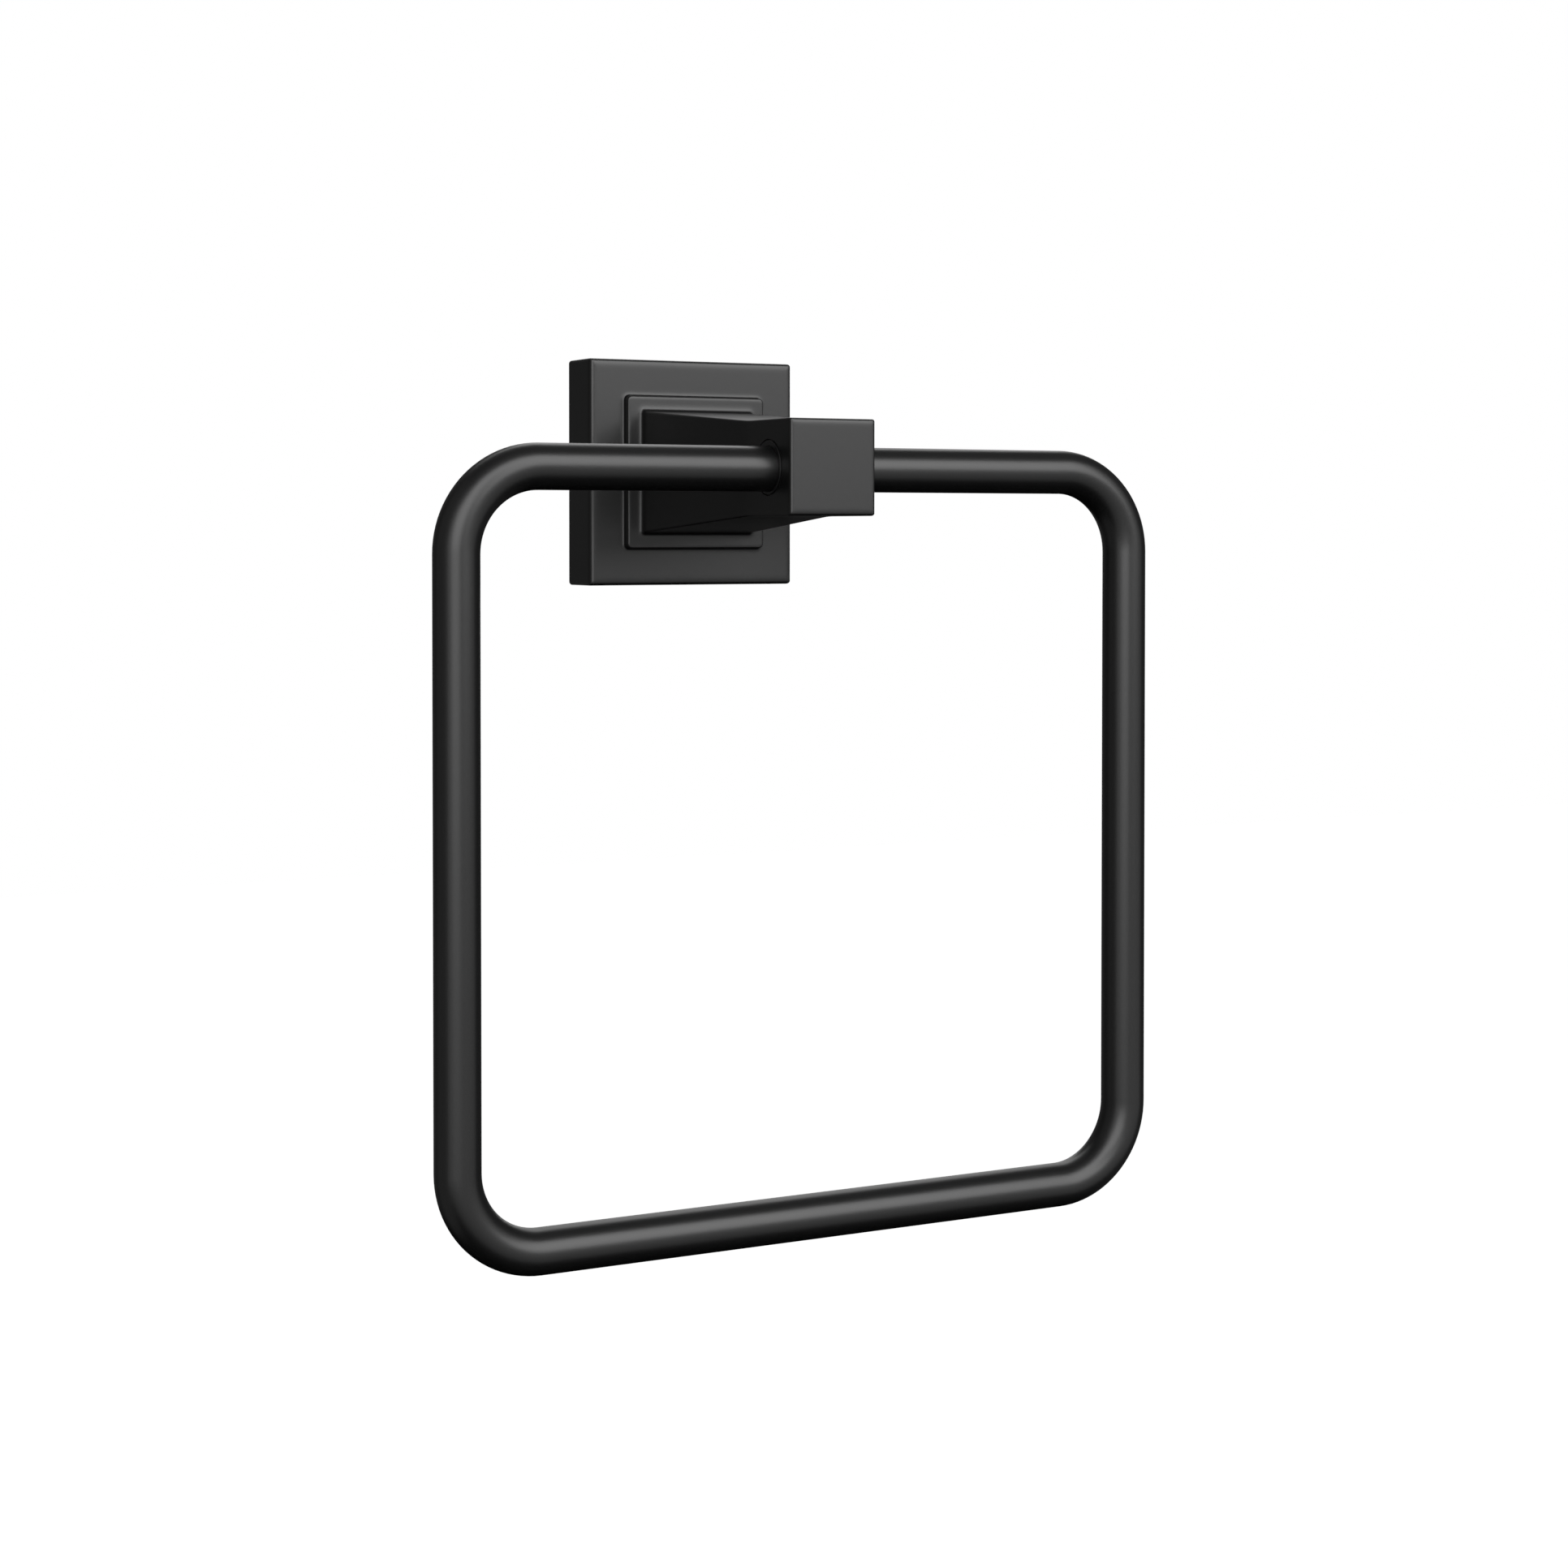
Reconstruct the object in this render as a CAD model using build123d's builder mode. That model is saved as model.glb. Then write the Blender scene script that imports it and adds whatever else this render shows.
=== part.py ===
# A towel ring: a square wall plate with a tapering post, and a bent bar that swings in the post's head.
# Sizes are in millimetres. X runs along the wall, Z is up, and the wall is the plane Y = 0.
# The origin is the middle of the wall plate on the wall, and the object stands out towards -Y.
import os
from math import radians, tan

from build123d import *

# Ring: a round bar bent into a square, open at the top where its ends enter the head
rod_diameter = 9.5
ring_width = 168.6
ring_height = 167.1
bend_radius = 17.5
rod_end_chamfer = 0.6
rod_end_gap = 0.5

# Head: nearly a cube, with a blind bore in each side face
ring_reach = 68.3
head_side = 20.2
head_depth = 19.5
head_front_radius = 0.7

# Post between the head and the step
post_base_side = 27.4
post_edge_radius = 0.5
post_base_radius = 1.3

# Raised step on the wall plate
step_side = 34.3
step_height = 2.0
step_corner_radius = 1.1
step_edge_radius = 0.6
step_base_radius = 1.0

# Wall plate, hollow at the back
plate_side = 51.0
plate_depth = 12.1
plate_front_radius = 0.9
plate_corner_radius = 0.75
plate_side_wall = 2.8
plate_front_wall = 3.0
cavity_corner_radius = 1.5

# Core that lightens the post, open to the plate's hollow
post_wall = 3.4
core_corner_radius = 2.0
core_end_length = 8.0

# Bushes that line the head's bores
bush_diameter = 11.6
bush_length = 8.0
bush_proud = 0.15
bush_fit_gap = 0.02
rod_play = 0.1
rod_drop = 0.3

# Bracket on the wall, with its upper and lower edges bevelled like a dovetail
bracket_width = 38.0
bracket_back_height = 30.0
bracket_thickness = 4.0
bracket_bevel_angle = 30.0
bracket_corner_radius = 2.0
wall_hole_diameter = 4.8
wall_hole_sink_diameter = 9.0
wall_hole_sink_angle = 90.0
wall_hole_spacing = 18.0

# Hook inside the plate that hangs on the bracket's upper bevel
hook_width = 26.0
hook_back_gap = 0.6
hook_thickness = 2.8

# Set screw under the plate that bears on the bracket's lower bevel
screw_diameter = 4.0
screw_length = 8.0
screw_from_wall = 3.0
screw_tip_radius = 0.4
screw_fit_gap = 0.03
screw_socket_width = 2.0
screw_socket_depth = 2.2
screw_rim_chamfer = 0.3
screw_boss_wall = 2.4
screw_boss_height = 2.6

# Places along the reach, measured out from the wall
step_front = plate_depth + step_height
head_back = ring_reach - head_depth / 2
head_front = ring_reach + head_depth / 2
cavity_depth = plate_depth - plate_front_wall
core_depth = head_back - core_end_length

# Sizes that follow from the ones above
cavity_side = plate_side - 2 * plate_side_wall
bore_diameter = bush_diameter + 2 * bush_fit_gap
bore_depth = bush_length - bush_proud
bush_bore_diameter = rod_diameter + 2 * rod_play
bevel_slope = tan(radians(bracket_bevel_angle))
same_plane = 0.001

# The bar and the bores of its bushes lie a little under the head's centre
rod_axis_height = -rod_drop


def post_side(depth):
    # Width of the tapering post at a distance from the wall
    taper = (post_base_side - head_side) / (head_back - step_front)
    return head_side + taper * (head_back - depth)


def bevel_height(depth):
    # Half the bracket's height at a distance from the wall
    return bracket_back_height / 2 + bevel_slope * depth


def square_column(*stations):
    # A column along Y with square sections: each station is a distance from the wall and the side there
    upper = [(-depth, side / 2) for depth, side in stations]
    lower = [(-depth, -side / 2) for depth, side in reversed(stations)]
    with BuildPart() as column:
        for plane, mode in ((Plane.YZ, Mode.ADD), (Plane.YX, Mode.INTERSECT)):
            with BuildSketch(plane):
                with BuildLine():
                    Polyline(*upper, *lower, close=True)
                make_face()
            extrude(amount=plate_side / 2, both=True, mode=mode)
    return column.part


def long_edges(part):
    # Straight edges that run out from the wall, along the column or sloping with it
    straight = part.edges().filter_by(GeomType.LINE)
    return straight.filter_by(Axis.X, reverse=True).filter_by(Axis.Z, reverse=True)


def inner_edges(part, depth):
    # Edges round what stands on the front face that lies at this distance from the wall
    flats = part.faces().filter_by(Plane.XZ)
    fronts = flats.filter_by_position(Axis.Y, -depth - same_plane, -depth + same_plane)
    return fronts.sort_by(SortBy.AREA)[-1].inner_wires()[0].edges()


# Tapering post and head: the front edges are rounded first, because they are rounder than the long ones
with BuildPart() as neck:
    add(square_column((step_front, post_base_side), (head_back, head_side), (head_front, head_side)))
    fillet(neck.faces().sort_by(Axis.Y)[0].edges(), head_front_radius)
    fillet(long_edges(neck), post_edge_radius)

# Core that lightens the post
with BuildPart() as core:
    core_ends = (cavity_depth, core_depth)
    add(square_column(*((depth, post_side(depth) - 2 * post_wall) for depth in core_ends)))
    fillet(long_edges(core), core_corner_radius)

# Post: plate, step, tapering post and head in one casting
with BuildPart() as post:
    with BuildSketch(Plane.XZ):
        Rectangle(plate_side, plate_side)
    extrude(amount=plate_depth)
    fillet(post.faces().sort_by(Axis.Y)[0].edges(), plate_front_radius)
    fillet(long_edges(post), plate_corner_radius)

    # Step, rounded outside and where it meets the plate
    with BuildSketch(Plane.XZ.offset(plate_depth)):
        RectangleRounded(step_side, step_side, step_corner_radius)
    extrude(amount=step_height)
    fillet(post.faces().sort_by(Axis.Y)[0].edges(), step_edge_radius)
    fillet(inner_edges(post, plate_depth), step_base_radius)

    # Tapering post and head, rounded where they stand on the step
    add(neck.part)
    fillet(inner_edges(post, step_front), post_base_radius)

    # Hollow at the back of the plate, and the core that opens into it
    with BuildSketch(Plane.XZ):
        RectangleRounded(cavity_side, cavity_side, cavity_corner_radius)
    extrude(amount=cavity_depth, mode=Mode.SUBTRACT)

    add(core.part, mode=Mode.SUBTRACT)

    # Hook that hangs on the bracket's upper bevel
    hook_front = hook_back_gap + hook_thickness
    with BuildSketch(Plane.YZ):
        with BuildLine():
            Polyline(
                (-hook_back_gap, bevel_height(hook_back_gap)),
                (-hook_front, bevel_height(hook_front)),
                (-hook_front, cavity_side / 2),
                (-hook_back_gap, cavity_side / 2),
                close=True,
            )
        make_face()
    extrude(amount=hook_width / 2, both=True)

    # Boss and hole for the set screw
    boss_side = screw_diameter + 2 * screw_boss_wall
    boss_front = screw_from_wall + boss_side / 2
    with BuildSketch(Plane.XY.offset(-cavity_side / 2)):
        with Locations((0, -boss_front)):
            Rectangle(boss_side, boss_front - hook_back_gap, align=(Align.CENTER, Align.MIN))
    extrude(amount=screw_boss_height)
    screw_mouth = (0, -screw_from_wall, -plate_side / 2)
    with Locations(Plane(origin=screw_mouth, z_dir=(0, 0, -1))):
        Hole(screw_diameter / 2, depth=plate_side_wall + screw_boss_height)

    # Bores for the two bushes
    for side in (-1, 1):
        bore_mouth = (side * head_side / 2, -ring_reach, 0)
        with Locations(Plane(origin=bore_mouth, z_dir=(side, 0, 0))):
            Hole(bore_diameter / 2, depth=bore_depth)
post.part.label = "post"

# Ring: one bar from the left bush round to the right bush
rod_end = head_side / 2 - bore_depth + rod_end_gap
ring_half_width = (ring_width - rod_diameter) / 2
ring_foot_height = rod_axis_height - (ring_height - rod_diameter)
with BuildPart() as ring:
    with BuildLine() as ring_path:
        FilletPolyline(
            (-rod_end, -ring_reach, rod_axis_height),
            (-ring_half_width, -ring_reach, rod_axis_height),
            (-ring_half_width, -ring_reach, ring_foot_height),
            (ring_half_width, -ring_reach, ring_foot_height),
            (ring_half_width, -ring_reach, rod_axis_height),
            (rod_end, -ring_reach, rod_axis_height),
            radius=bend_radius,
        )
    with BuildSketch(Plane(origin=ring_path.line @ 0, z_dir=ring_path.line % 0)):
        Circle(rod_diameter / 2)
    sweep()
    end_faces = ring.faces().filter_by(Plane.YZ)
    chamfer(end_faces.edges(), rod_end_chamfer)
ring.part.label = "ring"

# Bushes: sleeves a hair proud of the head's side faces, with the bar's bore a little low in each
with BuildPart() as left_bush:
    with BuildSketch(Plane.YZ.offset(-head_side / 2 - bush_proud)):
        with Locations((-ring_reach, 0)):
            Circle(bush_diameter / 2)
        with Locations((-ring_reach, rod_axis_height)):
            Circle(bush_bore_diameter / 2, mode=Mode.SUBTRACT)
    extrude(amount=bush_length)
left_bush.part.label = "left_bush"

with BuildPart() as right_bush:
    mirror(left_bush.part, about=Plane.YZ)
right_bush.part.label = "right_bush"

# Wall bracket: a bevelled plate with two countersunk holes, one above the other
with BuildPart() as wall_bracket:
    with BuildSketch(Plane.YZ):
        with BuildLine():
            Polyline(
                (0, -bevel_height(0)),
                (0, bevel_height(0)),
                (-bracket_thickness, bevel_height(bracket_thickness)),
                (-bracket_thickness, -bevel_height(bracket_thickness)),
                close=True,
            )
        make_face()
    extrude(amount=bracket_width / 2, both=True)
    corners = wall_bracket.faces().filter_by(Plane.YZ).edges().filter_by(Axis.Z, reverse=True)
    fillet(corners, bracket_corner_radius)
    with Locations(Plane.XZ.offset(bracket_thickness)):
        with GridLocations(0, wall_hole_spacing, 1, 2):
            CounterSinkHole(
                wall_hole_diameter / 2,
                wall_hole_sink_diameter / 2,
                depth=bracket_thickness,
                counter_sink_angle=wall_hole_sink_angle,
            )
wall_bracket.part.label = "wall_bracket"

# Set screw: a socket screw with a cone point, its tip against the bracket's lower bevel
screw_radius = screw_diameter / 2 - screw_fit_gap
screw_tip_height = -bevel_height(screw_from_wall + screw_tip_radius)
with BuildPart() as set_screw:
    with BuildSketch(Plane.XY.offset(screw_tip_height - screw_length)):
        with Locations((0, -screw_from_wall)):
            Circle(screw_radius)
    extrude(amount=screw_length)
    chamfer(set_screw.faces().sort_by(Axis.Z)[-1].edges(), screw_radius - screw_tip_radius)
    chamfer(set_screw.faces().sort_by(Axis.Z)[0].edges(), screw_rim_chamfer)
    with BuildSketch(Plane.XY.offset(screw_tip_height - screw_length)):
        with Locations((0, -screw_from_wall)):
            RegularPolygon(screw_socket_width / 2, 6, major_radius=False)
    extrude(amount=screw_socket_depth, mode=Mode.SUBTRACT)
set_screw.part.label = "set_screw"

os.makedirs("parts", exist_ok=True)
export_step(post.part, "parts/post.step")
export_step(ring.part, "parts/ring.step")
export_step(left_bush.part, "parts/left_bush.step")
export_step(right_bush.part, "parts/right_bush.step")
export_step(wall_bracket.part, "parts/wall_bracket.step")
export_step(set_screw.part, "parts/set_screw.step")
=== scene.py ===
import math

import bmesh
import bpy
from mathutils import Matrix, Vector


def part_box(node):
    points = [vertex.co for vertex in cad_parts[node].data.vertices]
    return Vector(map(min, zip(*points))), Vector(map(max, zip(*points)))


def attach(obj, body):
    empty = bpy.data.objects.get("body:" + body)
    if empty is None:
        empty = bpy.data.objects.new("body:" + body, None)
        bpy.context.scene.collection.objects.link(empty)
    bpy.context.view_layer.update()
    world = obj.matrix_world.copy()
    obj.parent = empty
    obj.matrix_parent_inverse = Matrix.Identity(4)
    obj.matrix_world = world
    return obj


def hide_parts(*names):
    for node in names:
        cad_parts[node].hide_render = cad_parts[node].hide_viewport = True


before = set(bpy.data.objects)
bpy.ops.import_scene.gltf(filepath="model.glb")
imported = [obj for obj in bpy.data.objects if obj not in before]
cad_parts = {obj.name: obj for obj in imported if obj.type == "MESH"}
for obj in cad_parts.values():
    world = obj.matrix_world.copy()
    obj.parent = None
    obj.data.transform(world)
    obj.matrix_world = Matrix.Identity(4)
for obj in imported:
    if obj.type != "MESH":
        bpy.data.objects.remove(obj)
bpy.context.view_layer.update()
scene = bpy.context.scene
scene.view_settings.view_transform = "Standard"
mm = 0.001  # looks and pieces give their sizes in millimetres, the studio in metres
alongX, alongY, alongZ = range(3)
print("frame:", ", ".join(sorted(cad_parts)))


class Wire:  # one output socket of a node tree, so that node maths reads as a formula
    def __init__(self, tree, socket=None):
        self.tree = tree
        self.socket = socket

    def node(self, kind, settings=None, sockets=None, out=0):
        made = self.tree.nodes.new(kind)
        for name, value in (settings or {}).items():
            setattr(made, name, value)
        for name, value in (sockets or {}).items():
            if isinstance(value, Wire):
                self.tree.links.new(value.socket, made.inputs[name])
            else:
                made.inputs[name].default_value = value
        return Wire(self.tree, made.outputs[out] if made.outputs else None)

    def out(self, name):  # another output of the same node
        return Wire(self.tree, self.socket.node.outputs[name])

    def math(self, operation, first, second=0.0):
        return self.node("ShaderNodeMath", {"operation": operation}, {0: first, 1: second})

    def __add__(self, other):
        return self.math("ADD", self, other)

    def __radd__(self, other):
        return self.math("ADD", other, self)

    def __sub__(self, other):
        return self.math("SUBTRACT", self, other)

    def __rsub__(self, other):
        return self.math("SUBTRACT", other, self)

    def __mul__(self, other):
        return self.math("MULTIPLY", self, other)

    def __rmul__(self, other):
        return self.math("MULTIPLY", other, self)

    def __truediv__(self, other):
        return self.math("DIVIDE", self, other)

    def __rtruediv__(self, other):
        return self.math("DIVIDE", other, self)


# materials

def blankMaterial(name):
    material = bpy.data.materials.new(name)
    material.use_nodes = True
    material.node_tree.nodes.clear()
    return material, Wire(material.node_tree)


def startMaterial(name):
    material, wire = blankMaterial(name)
    return material, wire.node("ShaderNodeTexCoord", out="Object")


def noiseAt(place, look, mark):  # a mark is a noise with its size and detail in the look
    return place.node("ShaderNodeTexNoise", {}, {
        "Vector": place,
        "Scale": 1 / (look[mark + "Size"] * mm),
        "Detail": look[mark + "Detail"],
    })


def blendNoise(share, first, second):
    return first * share + second * (1 - share)


noiseMiddle = 0.5


def unevenRoughness(look, noise):
    return look["roughness"] + (noise - noiseMiddle) * look["roughnessSpread"]


def mixColours(share, first, second):  # by number, because the Mix node has its sockets once for each type
    return share.node("ShaderNodeMix", {"data_type": "RGBA"}, {0: share, 6: first, 7: second}, out=2)


def bumpFrom(height, depth):
    return height.node("ShaderNodeBump", {}, {"Strength": 1.0, "Distance": depth * mm, "Height": height})


def closeMaterial(place, sockets):
    shader = place.node("ShaderNodeBsdfPrincipled", {}, sockets)
    place.node("ShaderNodeOutputMaterial", {}, {"Surface": shader})


coatLook = {
    "deep": (0.0022, 0.0022, 0.0023, 1),
    "worn": (0.0034, 0.0034, 0.0035, 1),
    "roughness": 0.34,
    "roughnessSpread": 0.06,
    "specular": 0.54,
    "grainSize": 0.25,
    "grainDetail": 2.0,
    "grainShare": 0.6,  # in the roughness; the clouds have the rest
    "cloudSize": 14.0,
    "cloudDetail": 3.0,
    "peelSize": 1.3,
    "peelDetail": 1.0,
    "peelDepth": 0.006,
}


def makeCoat():  # satin black powder coat: a faint orange peel with a fine grain in its gloss
    look = coatLook
    material, place = startMaterial("blackCoat")
    grain = noiseAt(place, look, "grain")
    cloud = noiseAt(place, look, "cloud")
    peel = noiseAt(place, look, "peel")
    closeMaterial(place, {
        "Base Color": mixColours(grain, look["deep"], look["worn"]),
        "Roughness": unevenRoughness(look, blendNoise(look["grainShare"], grain, cloud)),
        "Specular IOR Level": look["specular"],
        "Normal": bumpFrom(peel, look["peelDepth"]),
    })
    return material


bushLook = {
    "deep": (0.0040, 0.0040, 0.0041, 1),
    "pale": (0.0065, 0.0065, 0.0066, 1),
    "roughness": 0.34,
    "roughnessSpread": 0.08,
    "grainSize": 0.18,
    "grainDetail": 3.0,
    "grainDepth": 0.003,
}


def makeNylon():  # moulded nylon, matte and finely sparked
    look = bushLook
    material, place = startMaterial("bushNylon")
    grain = noiseAt(place, look, "grain")
    closeMaterial(place, {
        "Base Color": mixColours(grain, look["deep"], look["pale"]),
        "Roughness": unevenRoughness(look, grain),
        "Normal": bumpFrom(grain, look["grainDepth"]),
    })
    return material


zincLook = {
    "dull": (0.36, 0.365, 0.375, 1),
    "bright": (0.52, 0.525, 0.535, 1),
    "metallic": 1.0,
    "roughness": 0.42,
    "roughnessSpread": 0.25,
    "flowSize": 7.0,
    "flowDetail": 4.0,
    "flowInColour": 0.7,  # the sandy grain has the rest
    "flowInRoughness": 0.5,
    "grainSize": 0.35,
    "grainDetail": 3.0,
    "grainDepth": 0.02,
}


def makeZinc():  # bare die-cast zinc: cloudy flow marks and a sandy skin
    look = zincLook
    material, place = startMaterial("bareZinc")
    flow = noiseAt(place, look, "flow")
    grain = noiseAt(place, look, "grain")
    closeMaterial(place, {
        "Base Color": mixColours(blendNoise(look["flowInColour"], flow, grain), look["dull"], look["bright"]),
        "Metallic": look["metallic"],
        "Roughness": unevenRoughness(look, blendNoise(look["flowInRoughness"], flow, grain)),
        "Normal": bumpFrom(grain, look["grainDepth"]),
    })
    return material


oxideLook = {
    "deep": (0.022, 0.022, 0.024, 1),
    "rubbed": (0.075, 0.073, 0.072, 1),
    "metallic": 0.85,
    "roughness": 0.38,
    "roughnessSpread": 0.16,
    "blotchSize": 1.6,
    "blotchDetail": 4.0,
}


def makeOxide():  # oiled black oxide on steel, a little rubbed
    look = oxideLook
    material, place = startMaterial("blackOxide")
    blotch = noiseAt(place, look, "blotch")
    closeMaterial(place, {
        "Base Color": mixColours(blotch, look["deep"], look["rubbed"]),
        "Metallic": look["metallic"],
        "Roughness": unevenRoughness(look, blotch),
    })
    return material


coat, nylon, zinc, oxide = makeCoat(), makeNylon(), makeZinc(), makeOxide()
print("materials: coat, nylon, zinc, oxide")


# mesh tools

def linkObject(name, data):
    made = bpy.data.objects.new(name, data)
    scene.collection.objects.link(made)
    return made


def loft(name, loops):  # skins a row of loops of equal count and caps its two ends
    count = len(loops[0])
    points = [point for loop in loops for point in loop]
    last = len(points) - count
    faces = []
    for here in range(0, last, count):
        there = here + count
        for k in range(count):
            after = (k + 1) % count
            faces.append((here + k, here + after, there + after, there + k))
    faces.append(tuple(range(count)))
    faces.append(tuple(range(last, len(points))))
    mesh = bpy.data.meshes.new(name)
    mesh.from_pydata(points, [], faces)
    work = bmesh.new()
    work.from_mesh(mesh)
    bmesh.ops.recalc_face_normals(work, faces=work.faces)
    work.to_mesh(mesh)
    work.free()
    return linkObject(name, mesh)


cornerSigns = ((1, 1), (-1, 1), (-1, -1), (1, -1))


def squareLoop(depth, halfWide, halfHigh, corner, steps):  # a rounded rectangle at a depth from the wall
    loop = []
    for quarter, (sideX, sideZ) in enumerate(cornerSigns):
        for k in range(steps + 1):
            turn = (quarter + k / steps) * math.pi / 2
            x = sideX * (halfWide - corner) + corner * math.cos(turn)
            z = sideZ * (halfHigh - corner) + corner * math.sin(turn)
            loop.append((x * mm, -depth * mm, z * mm))
    return loop


def turned(name, outline, axis, centre, sides):  # lathes an outline of (along, radius) about an axis
    first, second = [k for k in range(3) if k != axis]
    loops = []
    for along, radius in outline:
        loop = []
        for k in range(sides):
            turn = 2 * math.pi * k / sides
            point = list(centre)
            point[axis] = along
            point[first] += radius * math.cos(turn)
            point[second] += radius * math.sin(turn)
            loop.append([value * mm for value in point])
        loops.append(loop)
    return loft(name, loops)


def plainMesh(piece):  # swaps an object's modifiers for the mesh that they make
    graph = bpy.context.evaluated_depsgraph_get()
    shown = piece.evaluated_get(graph)
    made = bpy.data.meshes.new_from_object(shown, preserve_all_data_layers=True, depsgraph=graph)
    piece.modifiers.clear()
    old = piece.data
    piece.data = made
    bpy.data.meshes.remove(old)
    made.name = piece.name


def combine(piece, tool, operation):
    change = piece.modifiers.new(operation, "BOOLEAN")
    change.operation = operation
    change.solver = "EXACT"
    change.object = tool
    plainMesh(piece)
    bpy.data.objects.remove(tool)


def softShade(piece, sharpAngle):  # smooth rounds beside flats that stay flat
    piece.data.shade_smooth()
    piece.data.set_sharp_from_angle(angle=math.radians(sharpAngle))
    steady = piece.modifiers.new("steadyNormals", "WEIGHTED_NORMAL")
    steady.keep_sharp = True
    plainMesh(piece)


def startTree(name, inputs):  # a geometry tree with named inputs, each a socket type
    tree = bpy.data.node_groups.new(name, "GeometryNodeTree")
    tree.interface.new_socket("Geometry", in_out="INPUT", socket_type="NodeSocketGeometry")
    for label, kind in inputs.items():
        tree.interface.new_socket(label, in_out="INPUT", socket_type=kind)
    tree.interface.new_socket("Geometry", in_out="OUTPUT", socket_type="NodeSocketGeometry")
    return tree, Wire(tree).node("NodeGroupInput", out="Geometry")


def closeTree(shape, material):
    smooth = shape.node("GeometryNodeSetShadeSmooth", {}, {"Geometry": shape})
    solid = shape.node("GeometryNodeRealizeInstances", {}, {"Geometry": smooth})
    dressed = shape.node("GeometryNodeSetMaterial", {}, {"Geometry": solid, "Material": material})
    shape.node("NodeGroupOutput", {}, {"Geometry": dressed})


def growTree(piece, tree, values):
    grown = piece.modifiers.new(tree.name, "NODES")
    grown.node_group = tree
    for item in tree.interface.items_tree:
        if item.name in values:
            grown[item.identifier] = values[item.name]
    plainMesh(piece)


def settle(piece, body, node, material):
    piece.data.materials.clear()
    piece.data.materials.append(material)
    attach(piece, body)
    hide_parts(node)
    print("piece:", piece.name, len(piece.data.polygons), "faces")


# bar ring: a path with filleted bends, swept with a circle

barRing = {
    "bendRadius": 17.5,
    "endGap": 0.5,  # from each end of the bar to the floor of its bore
    "endChamfer": 0.6,
    "sides": 72,
    "bendSteps": 24,
    "merge": 0.001,
    "sharpAngle": 38,  # degrees
}


def sweepTree():
    tree, given = startTree("bentBar", {
        "Bend Radius": "NodeSocketFloat",
        "Bend Steps": "NodeSocketInt",
        "Bar Radius": "NodeSocketFloat",
        "Sides": "NodeSocketInt",
        "End Share": "NodeSocketFloat",
        "Merge": "NodeSocketFloat",
        "Material": "NodeSocketMaterial",
    })
    path = given.node("GeometryNodeMeshToCurve", {}, {"Mesh": given})
    bent = given.node("GeometryNodeFilletCurve", {"mode": "POLY"}, {
        "Curve": path,
        "Radius": given.out("Bend Radius"),
        "Count": given.out("Bend Steps"),
    })
    ends = given.node("GeometryNodeCurveEndpointSelection")
    tapered = given.node("GeometryNodeSetCurveRadius", {}, {
        "Curve": bent,
        "Selection": ends,
        "Radius": given.out("End Share"),
    })
    section = given.node("GeometryNodeCurvePrimitiveCircle", {}, {
        "Resolution": given.out("Sides"),
        "Radius": given.out("Bar Radius"),
    })
    bar = given.node("GeometryNodeCurveToMesh", {}, {
        "Curve": tapered,
        "Profile Curve": section,
        "Fill Caps": True,
    })
    # the fillet leaves a stack of points at the chamfer, where the path runs straight on
    single = given.node("GeometryNodeMergeByDistance", {}, {"Geometry": bar, "Distance": given.out("Merge")})
    closeTree(single, given.out("Material"))
    return tree


def makeBarRing():
    low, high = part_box("ring")
    barRadius = (high.y - low.y) / 2
    side = high.x - barRadius
    top, foot, depth = high.z - barRadius, low.z + barRadius, (low.y + high.y) / 2
    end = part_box("right_bush")[0].x + barRing["endGap"] * mm
    chamfer = barRing["endChamfer"] * mm
    half = [(end, top), (end + chamfer, top), (side, top), (side, foot)]
    points = [(-x, depth, z) for x, z in half] + [(x, depth, z) for x, z in reversed(half)]
    mesh = bpy.data.meshes.new("barRing")
    mesh.from_pydata(points, [(k, k + 1) for k in range(len(points) - 1)], [])
    ring = linkObject("barRing", mesh)
    growTree(ring, sweepTree(), {
        "Bend Radius": barRing["bendRadius"] * mm,
        "Bend Steps": barRing["bendSteps"],
        "Bar Radius": barRadius,
        "Sides": barRing["sides"],
        "End Share": 1 - chamfer / barRadius,
        "Merge": barRing["merge"] * mm,
        "Material": coat,
    })
    softShade(ring, barRing["sharpAngle"])
    settle(ring, "ring", "ring", coat)


makeBarRing()


# post: rounded squares along one outline, from the head's face round to the end of the core

postCasting = {
    "headHalf": 10.1,
    "headDepth": 19.5,
    "headReach": 1.9,  # a reach is how far a rounded edge runs into the faces beside it
    "longEdge": 0.5,
    "kinkReach": 5.0,  # softens the slight bend where the taper meets the head
    "footHalf": 13.7,
    "footReach": 2.6,
    "footSpread": 2.2,
    "stepFront": 14.1,
    "stepHalf": 17.15,
    "stepFootHalf": 17.27,  # the step's sides have a slight draft
    "stepCorner": 1.1,
    "stepReach": 1.2,
    "stepSide": 0.95,
    "stepSpread": 1.6,
    "plateFront": 12.1,
    "plateReach": 2.5,
    "plateCorner": 0.75,
    "rimReach": 0.4,
    "hollowHalf": 22.7,
    "hollowDepth": 9.1,
    "hollowCorner": 1.5,
    "wall": 3.4,
    "coreDepth": 50.55,
    "coreCorner": 2.0,
    "innerReach": 1.0,
    "mitre": 0.45,  # what is left of a corner where a front edge has rounded it away
    "easePower": 3,  # a higher power keeps a rounded edge nearer to its corner
    "easeSteps": 14,
    "cornerSteps": 7,
    "sharpAngle": 38,  # degrees
}


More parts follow.
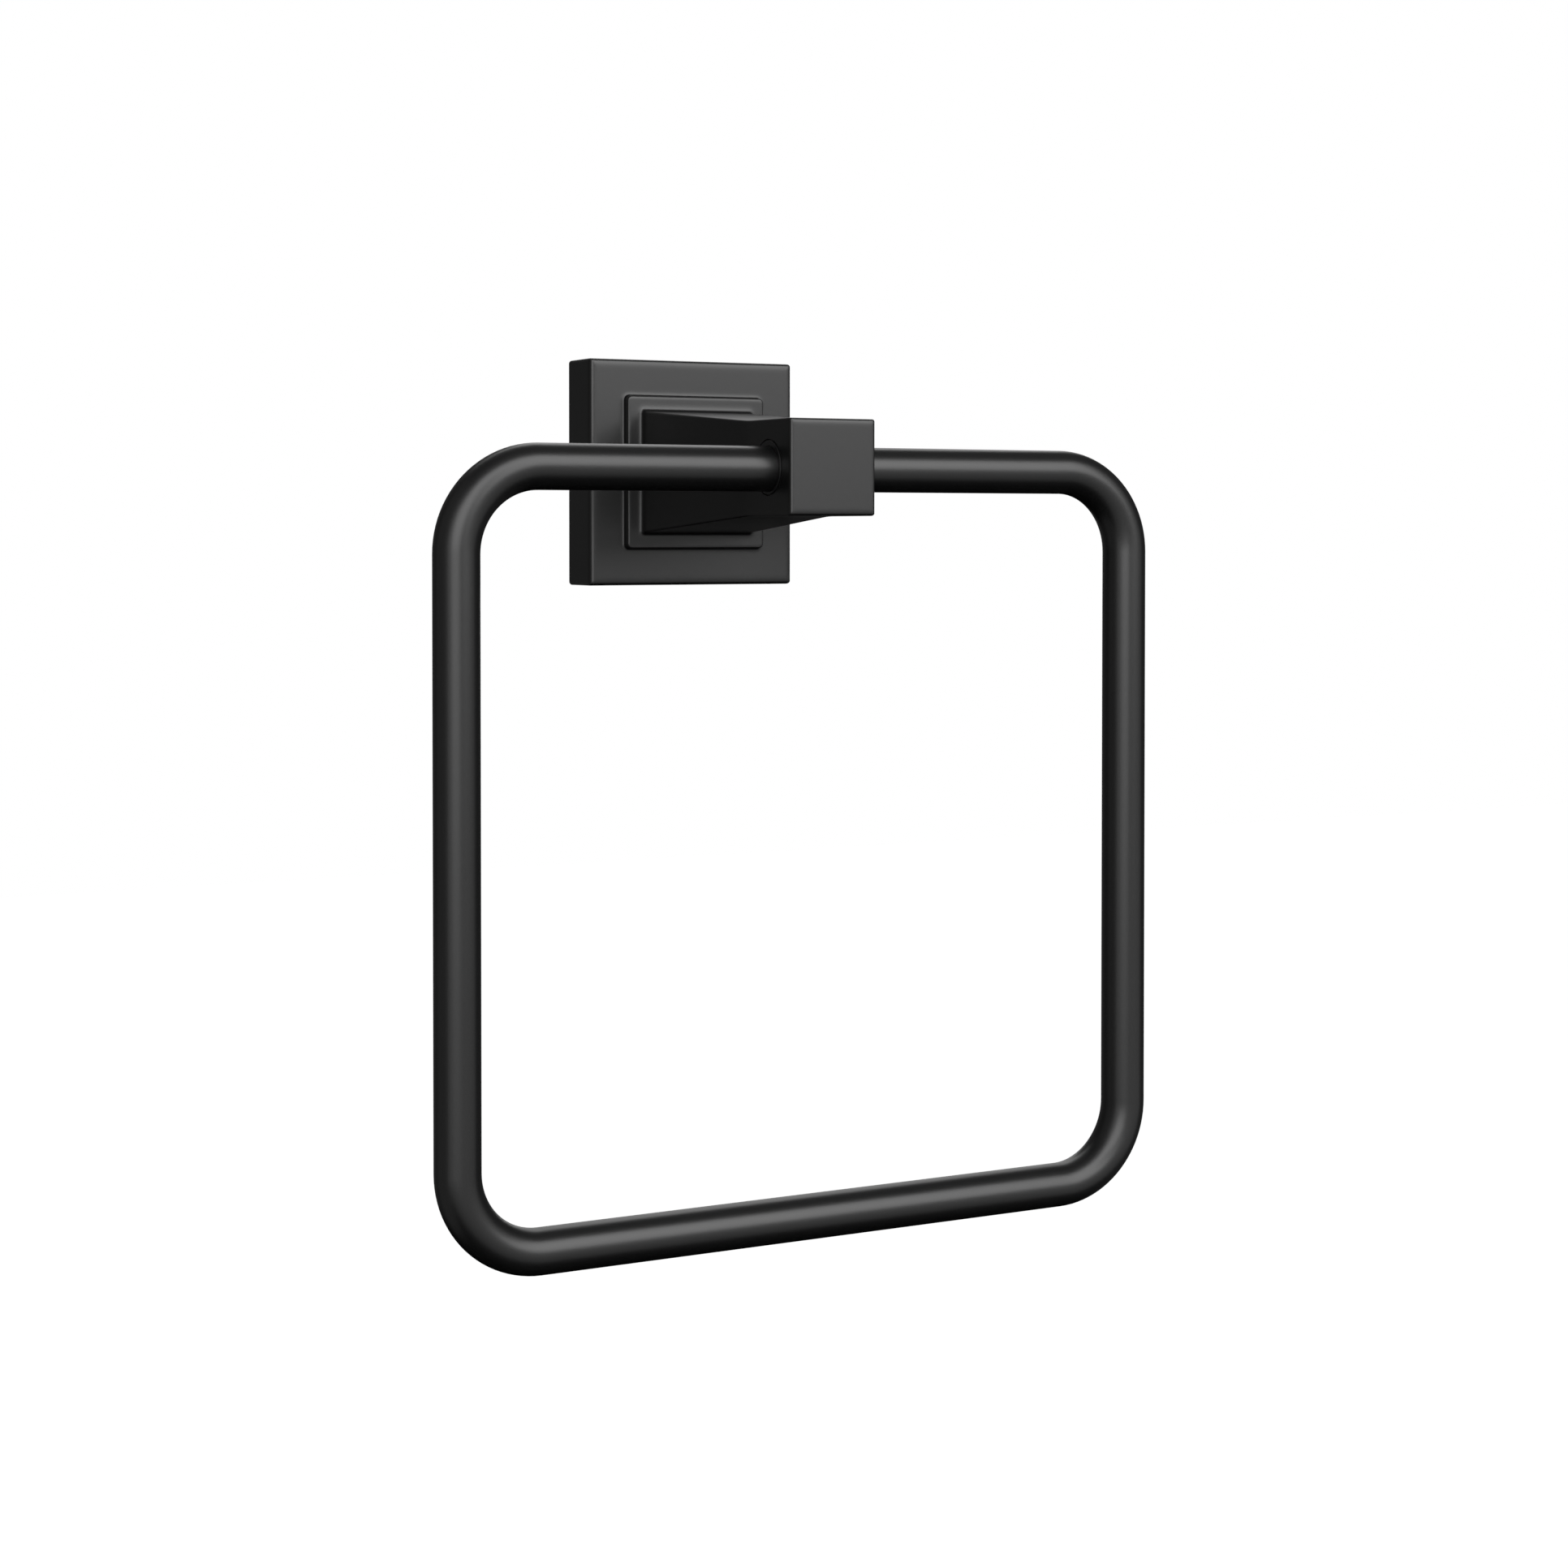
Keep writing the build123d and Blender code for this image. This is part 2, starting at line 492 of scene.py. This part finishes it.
def easeCorners(outline):
    # outline points are (depth, half, reach back, reach on, corner); its two ends only give directions
    steps, power = postCasting["easeSteps"], postCasting["easePower"]
    rounded = []
    for before, point, after in zip(outline, outline[1:], outline[2:]):
        here = Vector(point[:2])
        reachBack, reachOn, corner = point[2:]
        back = (Vector(before[:2]) - here).normalized()
        on = (Vector(after[:2]) - here).normalized()
        for k in range(steps + 1):
            share = k / steps
            legs = (back * reachBack * (1 - share) ** power, on * reachOn * share ** power)
            depth, half = here + legs[0] + legs[1]
            # along a flat, the corner grows with the square
            growth = sum(leg.y for leg in legs if leg.x == 0)
            rounded.append((depth, half, max(postCasting["mitre"], corner + growth)))
    return rounded


def postOutline():
    p = postCasting
    low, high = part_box("post")
    headFront, plateHalf = -low.y / mm, high.x / mm
    headBack = headFront - p["headDepth"]
    taper = (p["footHalf"] - p["headHalf"]) / (headBack - p["stepFront"])
    coreHalf = [p["headHalf"] + taper * (headBack - depth) - p["wall"]
                for depth in (p["hollowDepth"], p["coreDepth"])]
    rim, inner = p["rimReach"], p["innerReach"]
    return [
        (headFront, 0),
        (headFront, p["headHalf"], p["headReach"], p["headReach"], p["longEdge"]),
        (headBack, p["headHalf"], p["kinkReach"], p["kinkReach"], p["longEdge"]),
        (p["stepFront"], p["footHalf"], p["footReach"], p["footSpread"], p["longEdge"]),
        (p["stepFront"], p["stepHalf"], p["stepReach"], p["stepSide"], p["stepCorner"]),
        (p["plateFront"], p["stepFootHalf"], p["stepSide"], p["stepSpread"], p["stepCorner"]),
        (p["plateFront"], plateHalf, p["plateReach"], p["plateReach"], p["plateCorner"]),
        (0, plateHalf, rim, rim, p["plateCorner"]),
        (0, p["hollowHalf"], rim, rim, p["hollowCorner"]),
        (p["hollowDepth"], p["hollowHalf"], inner, inner, p["hollowCorner"]),
        (p["hollowDepth"], coreHalf[0], inner, inner, p["coreCorner"]),
        (p["coreDepth"], coreHalf[1], inner, inner, p["coreCorner"]),
        (p["coreDepth"], 0),
    ]


boreCut = {
    "radius": 5.82,
    "depth": 7.85,
    "mouthRadius": 5.95,  # the wider mouth leaves a dark hairline round the bush
    "mouthDepth": 0.6,
    "sides": 96,
    "spare": 1.0,
}


def cutBore(post, side):  # a blind bore in one side face of the head
    low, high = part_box("ring")
    centre = (0, (low.y + high.y) / 2 / mm, 0)
    face, mouth = postCasting["headHalf"], postCasting["headHalf"] - boreCut["mouthDepth"]
    outline = [
        (side * (face - boreCut["depth"]), boreCut["radius"]),
        (side * mouth, boreCut["radius"]),
        (side * mouth, boreCut["mouthRadius"]),
        (side * (face + boreCut["spare"]), boreCut["mouthRadius"]),
    ]
    combine(post, turned("boreTool", outline, alongX, centre, boreCut["sides"]), "DIFFERENCE")


bracketBevel = {"backHalf": 15.0, "angle": 30.0}  # the hook and the bracket share it; angle in degrees
innerEase = {"width": 0.25, "segments": 3}  # on the edges of the hook and the boss
hook = {"halfWide": 13.0, "backGap": 0.6, "thick": 2.8, "sunk": 1.0}
boss = {
    "halfWide": 4.4,
    "front": 7.4,
    "high": 2.6,
    "sunk": 1.0,
    "holeRadius": 2.0,
    "holeFromWall": 3.0,
    "holeSides": 48,
}


def bevelHeight(depth):  # half the bracket's height at a depth from the wall
    return bracketBevel["backHalf"] + math.tan(math.radians(bracketBevel["angle"])) * depth


def prism(name, outline, halfWide):  # an outline of (depth, height) drawn out along X, its edges eased
    loops = [[(x * mm, -depth * mm, height * mm) for depth, height in outline] for x in (-halfWide, halfWide)]
    made = loft(name, loops)
    soft = made.modifiers.new("ease", "BEVEL")
    soft.width = innerEase["width"] * mm
    soft.segments = innerEase["segments"]
    made.modifiers.new("flatFaces", "TRIANGULATE")
    plainMesh(made)
    return made


def addHook(post):  # hangs on the bracket's upper bevel
    near, far = hook["backGap"], hook["backGap"] + hook["thick"]
    roof = postCasting["hollowHalf"] + hook["sunk"]
    outline = [(near, bevelHeight(near)), (far, bevelHeight(far)), (far, roof), (near, roof)]
    combine(post, prism("hookTool", outline, hook["halfWide"]), "UNION")


def addBoss(post):  # carries the set screw
    floor = -postCasting["hollowHalf"]
    near, far = hook["backGap"], boss["front"]
    bottom, top = floor - boss["sunk"], floor + boss["high"]
    outline = [(near, bottom), (far, bottom), (far, top), (near, top)]
    combine(post, prism("bossTool", outline, boss["halfWide"]), "UNION")
    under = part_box("post")[0].z / mm
    outline = [(under - boss["sunk"], boss["holeRadius"]), (top + boss["sunk"], boss["holeRadius"])]
    tool = turned("screwHoleTool", outline, alongZ, (0, -boss["holeFromWall"], 0), boss["holeSides"])
    combine(post, tool, "DIFFERENCE")


def makePost():
    loops = [squareLoop(depth, half, half, corner, postCasting["cornerSteps"])
             for depth, half, corner in easeCorners(postOutline())]
    post = loft("postCasting", loops)
    for side in (-1, 1):
        cutBore(post, side)
    addHook(post)
    addBoss(post)
    softShade(post, postCasting["sharpAngle"])
    settle(post, "bracket", "post", coat)


makePost()


# bushes: two turned plugs in the bores, with the bar's hole a little low in each

bush = {
    "rodPlay": 0.1,
    "rimRadius": 5.65,
    "rimDepth": 0.6,
    "ease": 0.06,
    "sides": 96,
    "spare": 1.0,
    "sharpAngle": 30,  # degrees
}


def makeBush(name, node):
    low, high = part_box(node)
    rodLow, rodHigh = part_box("ring")
    radius = (high.z - low.z) / 2 / mm
    outer, inner = sorted((low.x / mm, high.x / mm), key=abs, reverse=True)
    way = math.copysign(1, inner - outer)
    rim, ease = bush["rimRadius"], bush["ease"]
    shoulder = outer + way * bush["rimDepth"]
    outline = [
        (outer, rim - ease),
        (outer + way * ease, rim),
        (shoulder, rim),
        (shoulder, radius),
        (inner, radius),
    ]
    depth = (low.y + high.y) / 2 / mm
    sleeve = turned(name, outline, alongX, (0, depth, 0), bush["sides"])
    rodRadius = (rodHigh.y - rodLow.y) / 2 / mm
    hole = rodRadius + bush["rodPlay"]
    outline = [(outer - way * bush["spare"], hole), (inner + way * bush["spare"], hole)]
    rodCentre = (0, depth, rodHigh.z / mm - rodRadius)
    combine(sleeve, turned("bushHoleTool", outline, alongX, rodCentre, bush["sides"]), "DIFFERENCE")
    softShade(sleeve, bush["sharpAngle"])
    settle(sleeve, "bracket", node, nylon)


makeBush("leftBush", "left_bush")
makeBush("rightBush", "right_bush")


# wall bracket: a bevelled plate with two countersunk holes

bracket = {
    "corner": 2.0,
    "ease": 0.3,
    "easeSteps": 4,
    "cornerSteps": 8,
    "holeRadius": 2.4,
    "sinkRadius": 4.5,
    "holeSpacing": 18.0,
    "holeSides": 64,
    "spare": 1.0,
    "sharpAngle": 38,  # degrees
}


def makeBracket():
    low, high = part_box("wall_bracket")
    halfWide, thick = high.x / mm, -low.y / mm
    ease, steps = bracket["ease"], bracket["easeSteps"]
    quarter = [math.pi / 2 * k / steps for k in range(steps + 1)]
    backRound = [(ease * (1 - math.cos(turn)), ease * (1 - math.sin(turn))) for turn in quarter]
    frontRound = [(thick - depth, inset) for depth, inset in reversed(backRound)]
    loops = [squareLoop(depth, halfWide - inset, bevelHeight(depth) - inset, bracket["corner"] - inset,
                        bracket["cornerSteps"]) for depth, inset in backRound + frontRound]
    plate = loft("wallBracket", loops)
    hole, sink, spare = bracket["holeRadius"], bracket["sinkRadius"], bracket["spare"]
    outline = [(spare, hole), (sink - hole - thick, hole), (-thick - spare, sink + spare)]
    for side in (-1, 1):
        centre = (0, 0, side * bracket["holeSpacing"] / 2)
        combine(plate, turned("wallHoleTool", outline, alongY, centre, bracket["holeSides"]), "DIFFERENCE")
    softShade(plate, bracket["sharpAngle"])
    settle(plate, "bracket", "wall_bracket", zinc)


makeBracket()


# set screw: a threaded blank with a cone point and a hex socket

setScrew = {
    "pitch": 0.7,
    "threadDepth": 0.38,
    "tipRadius": 0.4,
    "rimChamfer": 0.3,
    "socketWidth": 2.0,
    "socketDepth": 2.2,
    "socketSides": 6,
    "sides": 48,
    "ringsPerPitch": 12,
    "spare": 0.5,
    "sharpAngle": 50,  # degrees
}


def threadTree():  # draws the points of a blank in to a helical groove
    tree, given = startTree("screwThread", {
        "Axis": "NodeSocketVector",
        "Radius": "NodeSocketFloat",
        "Pitch": "NodeSocketFloat",
        "Depth": "NodeSocketFloat",
        "Material": "NodeSocketMaterial",
    })
    here = given.node("GeometryNodeInputPosition")
    fromAxis = given.node("ShaderNodeVectorMath", {"operation": "SUBTRACT"}, {0: here, 1: given.out("Axis")})
    x = given.node("ShaderNodeSeparateXYZ", {}, {"Vector": fromAxis})
    y, z = x.out("Y"), x.out("Z")
    radius = given.math("SQRT", x * x + y * y)
    turn = given.math("ARCTAN2", y, x) / (2 * math.pi)
    phase = given.math("FRACT", z / given.out("Pitch") - turn)
    wave = given.math("ABSOLUTE", phase * 2 - 1)  # falls from 1 to 0 and rises again in each pitch
    groove = given.out("Radius") - given.out("Depth") * wave
    share = given.math("MINIMUM", groove, radius) / radius
    drawn = given.node("ShaderNodeCombineXYZ", {}, {"X": x * share, "Y": y * share, "Z": z})
    moved = given.node("ShaderNodeVectorMath", {"operation": "ADD"}, {0: drawn, 1: given.out("Axis")})
    cut = given.node("GeometryNodeSetPosition", {}, {"Geometry": given, "Position": moved})
    closeTree(cut, given.out("Material"))
    return tree


def makeSetScrew():
    s = setScrew
    low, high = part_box("set_screw")
    radius = (high.x - low.x) / 2 / mm
    foot, top = low.z / mm, high.z / mm
    centre = (0, (low.y + high.y) / 2 / mm, 0)
    count = round((top - foot) / s["pitch"] * s["ringsPerPitch"])
    outline = []
    for k in range(count + 1):
        along = foot + (top - foot) * k / count
        cone = s["tipRadius"] + top - along
        rim = radius - s["rimChamfer"] + along - foot
        outline.append((along, min(radius, cone, rim)))
    screw = turned("setScrew", outline, alongZ, centre, s["sides"])
    growTree(screw, threadTree(), {
        "Axis": [value * mm for value in centre],
        "Radius": radius * mm,
        "Pitch": s["pitch"] * mm,
        "Depth": s["threadDepth"] * mm,
        "Material": oxide,
    })
    corner = s["socketWidth"] / 2 / math.cos(math.pi / s["socketSides"])  # the hexagon's corner radius
    outline = [(foot - s["spare"], corner), (foot + s["socketDepth"], corner)]
    combine(screw, turned("socketTool", outline, alongZ, centre, s["socketSides"]), "DIFFERENCE")
    softShade(screw, s["sharpAngle"])
    settle(screw, "bracket", "set_screw", oxide)


makeSetScrew()


# studio: white surroundings, a pale floor, soft lamps, and cards that only the coat's reflections see

studio = {
    "target": (0.0, -0.05, -0.07),
    "lampDistance": 3.5,
    "white": (1, 1, 1, 1),
    "whiteLevel": 1.0,
    "fillLevel": 0.10,  # what the white surroundings add to matte surfaces
    "floorHeight": -2.7,
    "floorHalf": 20.0,
    "floorColour": (0.86, 0.86, 0.86, 1),
    "floorGlow": 0.92,
}

lamps = {  # degrees from straight in front, size in metres, level in watts per square metre
    "rightSoftbox": {"azimuth": 27, "elevation": 36.3, "wide": 2.65, "high": 4.0, "level": 11.2},
    "leftSoftbox": {"azimuth": -26, "elevation": 15.5, "wide": 2.5, "high": 2.4, "level": 9.5},
    "leftFill": {"azimuth": -56, "elevation": 4, "wide": 2.0, "high": 2.2, "level": 0.62},
    "backSoftbox": {"azimuth": 158, "elevation": 44, "wide": 2.0, "high": 1.5, "level": 3.0},
}

cards = {  # middle and half sizes in metres, with zero for the thin side; most are dark, with a faint glow
    "leftCard": {"middle": (-0.75, 0.025, 0.0), "half": (0.0, 0.425, 2.2), "glow": 0.22},
    "leftFarCard": {"middle": (-0.75, 1.375, 0.0), "half": (0.0, 0.925, 2.2), "glow": 0.075},
    "backLeftCard": {"middle": (-0.025, 2.30, 0.0), "half": (0.775, 0.0, 2.2), "glow": 0.10},
    "rightFrontCard": {"middle": (1.50, -0.86, 0.0), "half": (0.0, 0.47, 0.9), "glow": 0.59},
    "rightCard": {"middle": (1.12, 0.28, 0.0), "half": (0.0, 0.72, 2.2), "glow": 0.05},
    # a bright one between the two softboxes, which carries the highlight round the bends
    "upperLeftCard": {"middle": (-0.72, -2.25, 2.02), "half": (0.75, 0.0, 0.60), "glow": 4.4},
    "upperCard": {"middle": (0.0, -0.05, 1.0), "half": (1.75, 0.75, 0.0), "glow": 0.10},
    "lowerCard": {"middle": (0.0, 1.05, -1.12), "half": (3.0, 2.20, 0.0), "glow": 0.0},
    "backLowCard": {"middle": (1.50, 3.25, -1.37), "half": (2.5, 0.0, 1.25), "glow": 0.05},
    "frontCard": {"middle": (0.0, -5.50, 0.0), "half": (7.5, 0.0, 7.5), "glow": 0.67},
    "frontLowCard": {"middle": (0.0, -3.50, -2.25), "half": (7.5, 2.0, 0.0), "glow": 0.48},
}


def mirrorRays(wire):  # rays that should see the white background
    path = wire.node("ShaderNodeLightPath", out="Is Camera Ray")
    return path + path.out("Is Glossy Ray") + path.out("Is Transmission Ray")


def makeSurroundings():
    world = bpy.data.worlds.new("whiteStudio")
    scene.world = world
    world.use_nodes = True
    world.node_tree.nodes.clear()
    wire = Wire(world.node_tree)
    white = studio["white"]
    dim = wire.node("ShaderNodeBackground", {}, {"Color": white, "Strength": studio["fillLevel"]})
    bright = wire.node("ShaderNodeBackground", {}, {"Color": white, "Strength": studio["whiteLevel"]})
    both = wire.node("ShaderNodeMixShader", {}, {0: mirrorRays(wire), 1: dim, 2: bright})
    wire.node("ShaderNodeOutputWorld", {}, {"Surface": both})


def flatSheet(name, middle, half, material):
    first, second = [k for k in range(3) if k != half.index(0)]
    points = []
    for sideA, sideB in cornerSigns:
        point = list(middle)
        point[first] += sideA * half[first]
        point[second] += sideB * half[second]
        points.append(point)
    mesh = bpy.data.meshes.new(name)
    mesh.from_pydata(points, [], [range(len(points))])
    mesh.materials.append(material)
    sheet = linkObject(name, mesh)
    return sheet


def makeFloor():
    material, wire = blankMaterial("paleFloor")
    matte = wire.node("ShaderNodeBsdfDiffuse", {}, {"Color": studio["floorColour"]})
    glow = wire.node("ShaderNodeEmission", {}, {"Strength": mirrorRays(wire) * studio["floorGlow"]})
    both = wire.node("ShaderNodeAddShader", {}, {0: matte, 1: glow})
    wire.node("ShaderNodeOutputMaterial", {}, {"Surface": both})
    half = studio["floorHalf"]
    flatSheet("floor", (0, 0, studio["floorHeight"]), (half, half, 0), material)


def makeCards():  # only mirror rays meet them
    for name, card in cards.items():
        material, wire = blankMaterial(name)
        glow = wire.node("ShaderNodeEmission", {}, {"Strength": card["glow"]})
        wire.node("ShaderNodeOutputMaterial", {}, {"Surface": glow})
        sheet = flatSheet(name, card["middle"], card["half"], material)
        sheet.visible_camera = False
        sheet.visible_diffuse = False
        sheet.visible_transmission = False
        sheet.visible_shadow = False


def makeLamps():
    target = Vector(studio["target"])
    for name, lamp in lamps.items():
        azimuth, elevation = math.radians(lamp["azimuth"]), math.radians(lamp["elevation"])
        away = Vector((math.sin(azimuth) * math.cos(elevation), -math.cos(azimuth) * math.cos(elevation),
                       math.sin(elevation)))
        light = bpy.data.lights.new(name, "AREA")
        light.shape = "RECTANGLE"
        light.size, light.size_y = lamp["wide"], lamp["high"]
        light.energy = lamp["level"] * lamp["wide"] * lamp["high"]
        made = linkObject(name, light)
        made.location = target + away * studio["lampDistance"]
        made.rotation_euler = (-away).to_track_quat("-Z", "Y").to_euler()
        made.visible_camera = False


camera = {  # stands to the left of the object, nearly level, and sees it through a lens that is shifted down
    "place": (-279.58, -581.07, -13.33),  # mm, and so are the lens and the sensor
    "level": 90,  # degrees up from looking straight down
    "tilt": -1.2,
    "turn": 27.397,  # degrees to the right
    "lens": 63.814,
    "sensor": 36,
    "shift": (0.02006, -0.12393),
    "clip": (0.01, 50),  # metres
}


def makeCamera():
    lens = bpy.data.cameras.new("camera")
    lens.sensor_width = camera["sensor"]
    lens.lens = camera["lens"]
    lens.shift_x, lens.shift_y = camera["shift"]
    lens.clip_start, lens.clip_end = camera["clip"]
    made = linkObject("camera", lens)
    made.location = [value * mm for value in camera["place"]]
    made.rotation_euler = (math.radians(camera["level"] + camera["tilt"]), 0, -math.radians(camera["turn"]))
    scene.camera = made


makeSurroundings()
makeFloor()
makeCards()
makeLamps()
makeCamera()
print("studio: floor, cards, lamps, camera")
